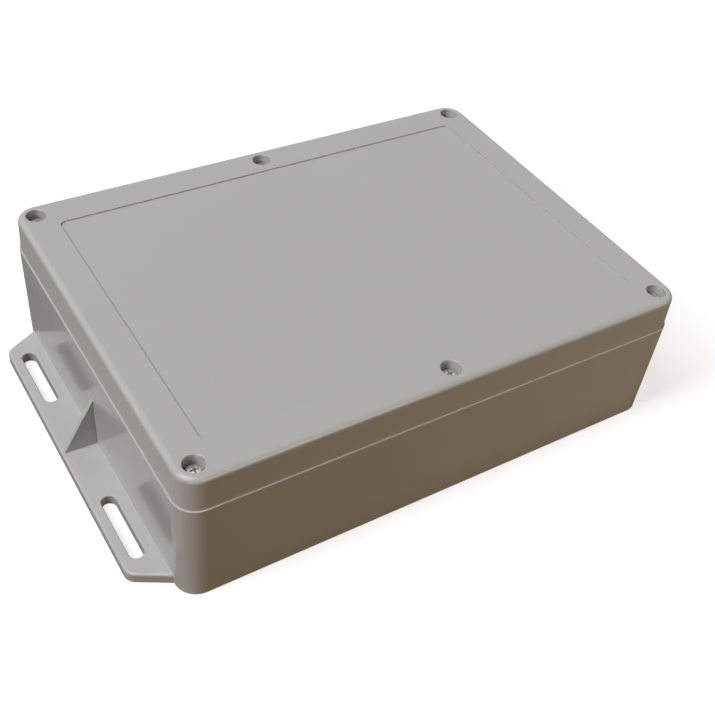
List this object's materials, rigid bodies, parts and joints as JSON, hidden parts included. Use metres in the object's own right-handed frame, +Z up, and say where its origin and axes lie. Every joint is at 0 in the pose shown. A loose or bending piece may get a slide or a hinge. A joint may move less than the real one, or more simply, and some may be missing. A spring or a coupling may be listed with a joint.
{
  "type": "junction box",
  "caption": "Rectangular gasketed junction box with a lift-off screwed lid, captive lid screws in threaded inserts, and slotted, gusseted mounting flanges at both ends.",
  "frame": {"origin": "middle of the underside, on the surface that the box stands on", "axes": "+X along the long side towards the right flange, +Y towards the back, +Z up out of the lid"},
  "size_m": [0.2962, 0.195, 0.0742],
  "materials": {
    "case_plastic": "moulded light grey, glossy",
    "gasket_rubber": "matt soft rubber",
    "ring_rubber": "matt rubber",
    "screw_steel": "stainless steel, lightly worn",
    "insert_brass": "turned brass"
  },
  "bodies": {
    "base": {"base_case": "case_plastic", "screw_insert_front_left": "insert_brass", "screw_insert_front_middle": "insert_brass", "screw_insert_front_right": "insert_brass", "screw_insert_back_left": "insert_brass", "screw_insert_back_middle": "insert_brass", "screw_insert_back_right": "insert_brass"},
    "lid": {"lid": "case_plastic", "lid_gasket": "gasket_rubber"},
    "ring_front_left": {"screw_ring_front_left": "ring_rubber"},
    "screw_front_left": {"lid_screw_front_left": "screw_steel"},
    "ring_front_middle": {"screw_ring_front_middle": "ring_rubber"},
    "screw_front_middle": {"lid_screw_front_middle": "screw_steel"},
    "ring_front_right": {"screw_ring_front_right": "ring_rubber"},
    "screw_front_right": {"lid_screw_front_right": "screw_steel"},
    "ring_back_left": {"screw_ring_back_left": "ring_rubber"},
    "screw_back_left": {"lid_screw_back_left": "screw_steel"},
    "ring_back_middle": {"screw_ring_back_middle": "ring_rubber"},
    "screw_back_middle": {"lid_screw_back_middle": "screw_steel"},
    "ring_back_right": {"screw_ring_back_right": "ring_rubber"},
    "screw_back_right": {"lid_screw_back_right": "screw_steel"}
  },
  "joints": [
    {"name": "lid_lift", "type": "slide", "parent": "base", "child": "lid", "axis": [0, 0, 1], "range_m": [0, 0.08]},
    {"name": "screw_rise_front_left", "type": "slide", "parent": "lid", "child": "ring_front_left", "axis": [0, 0, 1], "range_m": [0, 0.0054]},
    {"name": "screw_turn_front_left", "type": "hinge", "parent": "ring_front_left", "child": "screw_front_left", "pos_m": [-0.1216, -0.0876, 0], "axis": [0, 0, 1], "range_deg": [0, 2777.2]},
    {"name": "screw_rise_front_middle", "type": "slide", "parent": "lid", "child": "ring_front_middle", "axis": [0, 0, 1], "range_m": [0, 0.0054]},
    {"name": "screw_turn_front_middle", "type": "hinge", "parent": "ring_front_middle", "child": "screw_front_middle", "pos_m": [0, -0.0876, 0], "axis": [0, 0, 1], "range_deg": [0, 2777.2]},
    {"name": "screw_rise_front_right", "type": "slide", "parent": "lid", "child": "ring_front_right", "axis": [0, 0, 1], "range_m": [0, 0.0054]},
    {"name": "screw_turn_front_right", "type": "hinge", "parent": "ring_front_right", "child": "screw_front_right", "pos_m": [0.1216, -0.0876, 0], "axis": [0, 0, 1], "range_deg": [0, 2777.2]},
    {"name": "screw_rise_back_left", "type": "slide", "parent": "lid", "child": "ring_back_left", "axis": [0, 0, 1], "range_m": [0, 0.0054]},
    {"name": "screw_turn_back_left", "type": "hinge", "parent": "ring_back_left", "child": "screw_back_left", "pos_m": [-0.1216, 0.0876, 0], "axis": [0, 0, 1], "range_deg": [0, 2777.2]},
    {"name": "screw_rise_back_middle", "type": "slide", "parent": "lid", "child": "ring_back_middle", "axis": [0, 0, 1], "range_m": [0, 0.0054]},
    {"name": "screw_turn_back_middle", "type": "hinge", "parent": "ring_back_middle", "child": "screw_back_middle", "pos_m": [0, 0.0876, 0], "axis": [0, 0, 1], "range_deg": [0, 2777.2]},
    {"name": "screw_rise_back_right", "type": "slide", "parent": "lid", "child": "ring_back_right", "axis": [0, 0, 1], "range_m": [0, 0.0054]},
    {"name": "screw_turn_back_right", "type": "hinge", "parent": "ring_back_right", "child": "screw_back_right", "pos_m": [0.1216, 0.0876, 0], "axis": [0, 0, 1], "range_deg": [0, 2777.2]}
  ],
  "couplings": [
    {"joint": "screw_turn_front_left", "follows": "screw_rise_front_left", "rad_per_m": 8976},
    {"joint": "screw_turn_front_middle", "follows": "screw_rise_front_middle", "rad_per_m": 8976},
    {"joint": "screw_turn_front_right", "follows": "screw_rise_front_right", "rad_per_m": 8976},
    {"joint": "screw_turn_back_left", "follows": "screw_rise_back_left", "rad_per_m": 8976},
    {"joint": "screw_turn_back_middle", "follows": "screw_rise_back_middle", "rad_per_m": 8976},
    {"joint": "screw_turn_back_right", "follows": "screw_rise_back_right", "rad_per_m": 8976}
  ]
}
